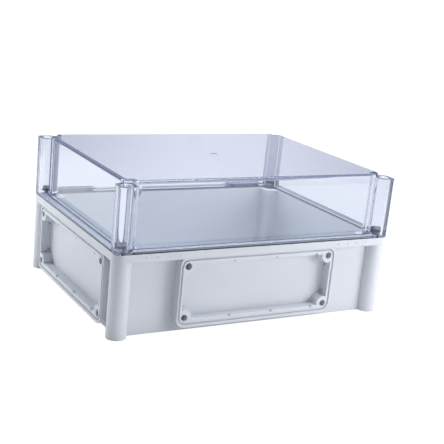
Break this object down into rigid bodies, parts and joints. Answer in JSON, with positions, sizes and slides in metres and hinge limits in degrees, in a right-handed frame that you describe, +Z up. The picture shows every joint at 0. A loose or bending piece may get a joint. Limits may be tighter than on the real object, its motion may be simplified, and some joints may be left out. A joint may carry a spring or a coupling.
{
  "type": "hinged polycarbonate enclosure",
  "caption": "Rectangular industrial enclosure with a light grey base, flanged side openings, a deep clear cover on rear hinges and screws down its corner posts.",
  "frame": {"origin": "centre of the base's flat underside", "axes": "+X along the long front side to the right, +Y from the front to the hinges at the rear, +Z up through the clear cover"},
  "size_m": [0.38, 0.2899, 0.1825],
  "materials": {
    "grey_plastic": "fine moulded satin",
    "clear_plastic": "clear, polished",
    "foam_rubber": "foamed in place, matt",
    "brass": "turned",
    "pin_steel": "bright stainless",
    "screw_steel": "dark zinc",
    "washer_rubber": "matt"
  },
  "bodies": {
    "base": {"base_shell": "grey_plastic", "flange_frame_front": "grey_plastic", "flange_frame_rear": "grey_plastic", "flange_frame_left": "grey_plastic", "flange_frame_right": "grey_plastic", "column_inserts": "brass", "floor_inserts": "brass", "hinge_base_leaf_left": "grey_plastic", "hinge_base_leaf_right": "grey_plastic", "hinge_pin_left": "pin_steel", "hinge_pin_right": "pin_steel", "base_leaf_screws": "pin_steel"},
    "cover": {"cover_shell": "clear_plastic", "cover_gasket": "foam_rubber", "hinge_cover_leaf_left": "clear_plastic", "hinge_cover_leaf_right": "clear_plastic", "cover_leaf_screws": "pin_steel"},
    "washer_front_left": {"screw_washer_front_left": "washer_rubber"},
    "screw_front_left": {"cover_screw_front_left": "screw_steel"},
    "washer_front_right": {"screw_washer_front_right": "washer_rubber"},
    "screw_front_right": {"cover_screw_front_right": "screw_steel"},
    "washer_rear_left": {"screw_washer_rear_left": "washer_rubber"},
    "screw_rear_left": {"cover_screw_rear_left": "screw_steel"},
    "washer_rear_right": {"screw_washer_rear_right": "washer_rubber"},
    "screw_rear_right": {"cover_screw_rear_right": "screw_steel"}
  },
  "joints": [
    {"name": "cover_hinge", "type": "hinge", "parent": "base", "child": "cover", "pos_m": [0, 0.1464, 0.1011], "axis": [-1, 0, 0], "range_deg": [0, 180]},
    {"name": "screw_feed_front_left", "type": "slide", "parent": "cover", "child": "washer_front_left", "axis": [0, 0, -1], "range_m": [0, 0.0042]},
    {"name": "screw_turn_front_left", "type": "hinge", "parent": "washer_front_left", "child": "screw_front_left", "pos_m": [-0.178, -0.128, 0.107], "axis": [0, 0, -1], "range_deg": [-72, 1080]},
    {"name": "screw_feed_front_right", "type": "slide", "parent": "cover", "child": "washer_front_right", "axis": [0, 0, -1], "range_m": [0, 0.0042]},
    {"name": "screw_turn_front_right", "type": "hinge", "parent": "washer_front_right", "child": "screw_front_right", "pos_m": [0.178, -0.128, 0.107], "axis": [0, 0, -1], "range_deg": [-72, 1080]},
    {"name": "screw_feed_rear_left", "type": "slide", "parent": "cover", "child": "washer_rear_left", "axis": [0, 0, -1], "range_m": [0, 0.0042]},
    {"name": "screw_turn_rear_left", "type": "hinge", "parent": "washer_rear_left", "child": "screw_rear_left", "pos_m": [-0.178, 0.128, 0.107], "axis": [0, 0, -1], "range_deg": [-72, 1080]},
    {"name": "screw_feed_rear_right", "type": "slide", "parent": "cover", "child": "washer_rear_right", "axis": [0, 0, -1], "range_m": [0, 0.0042]},
    {"name": "screw_turn_rear_right", "type": "hinge", "parent": "washer_rear_right", "child": "screw_rear_right", "pos_m": [0.178, 0.128, 0.107], "axis": [0, 0, -1], "range_deg": [-72, 1080]}
  ],
  "couplings": [
    {"joint": "screw_turn_front_left", "follows": "screw_feed_front_left", "rad_per_m": 4188.8},
    {"joint": "screw_turn_front_right", "follows": "screw_feed_front_right", "rad_per_m": 4188.8},
    {"joint": "screw_turn_rear_left", "follows": "screw_feed_rear_left", "rad_per_m": 4188.8},
    {"joint": "screw_turn_rear_right", "follows": "screw_feed_rear_right", "rad_per_m": 4188.8}
  ]
}
